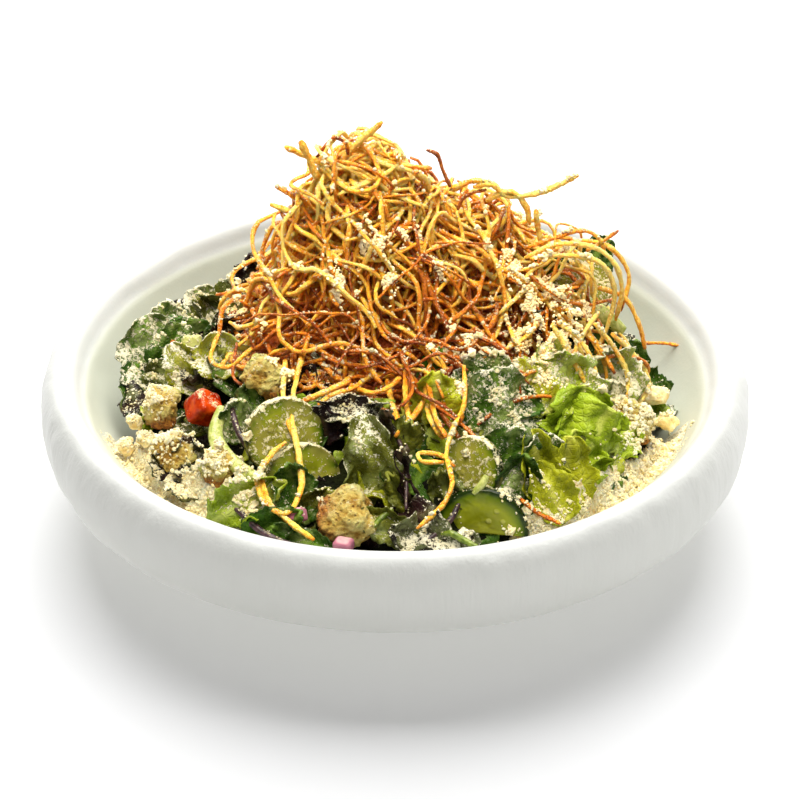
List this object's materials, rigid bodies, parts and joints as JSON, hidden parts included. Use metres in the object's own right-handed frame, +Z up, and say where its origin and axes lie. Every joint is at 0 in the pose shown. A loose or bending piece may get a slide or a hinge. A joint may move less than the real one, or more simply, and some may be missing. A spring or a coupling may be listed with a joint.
{
  "type": "mixed green salad with crisp potato straws in a bowl",
  "caption": "Round white stoneware bowl with a thick rolled rim, filled with dressed mixed leaves, cucumber, croutons, tomato and grated cheese under a tall heap of fried potato straws.",
  "frame": {"origin": "centre of the foot ring's underside, where the bowl stands on the table", "axes": "+Z up, -Y towards the side that the shown front faces, +X to that view's right"},
  "size_m": [0.28, 0.28, 0.1616],
  "materials": {
    "stoneware": "white matt-to-satin glaze with fine upright hand marks on the rim",
    "leaf": "crinkled lettuce and purple leaves, glossy with pale dressing and dusted with cheese",
    "cucumber": "wet pale green flesh with seeds and a dark green skin",
    "tomato": "glossy red skin, dusted with cheese",
    "crouton": "rough fried crumb, browned on some sides",
    "cheese": "dry crumbly hard cheese",
    "onion": "pink and white wet layers",
    "potato_straw": "dry fried potato, pale gold to brown"
  },
  "bodies": {
    "root": {"bowl": "stoneware", "cucumber_slice_1": "cucumber", "cucumber_slice_2": "cucumber", "cucumber_slice_3": "cucumber", "cucumber_slice_4": "cucumber", "cucumber_slice_5": "cucumber", "cucumber_chunk_1": "cucumber", "tomato_piece_1": "tomato", "crouton_1": "crouton", "crouton_2": "crouton", "crouton_3": "crouton", "crouton_4": "crouton", "crouton_5": "crouton", "crouton_6": "crouton", "cheese_lump_1": "cheese", "cheese_lump_2": "cheese", "cheese_lump_3": "cheese", "cheese_lump_4": "cheese", "cheese_lump_5": "cheese", "onion_piece_1": "onion", "onion_piece_2": "onion", "salad_bed": "leaf", "straw_mound": "potato_straw"}
  },
  "joints": []
}
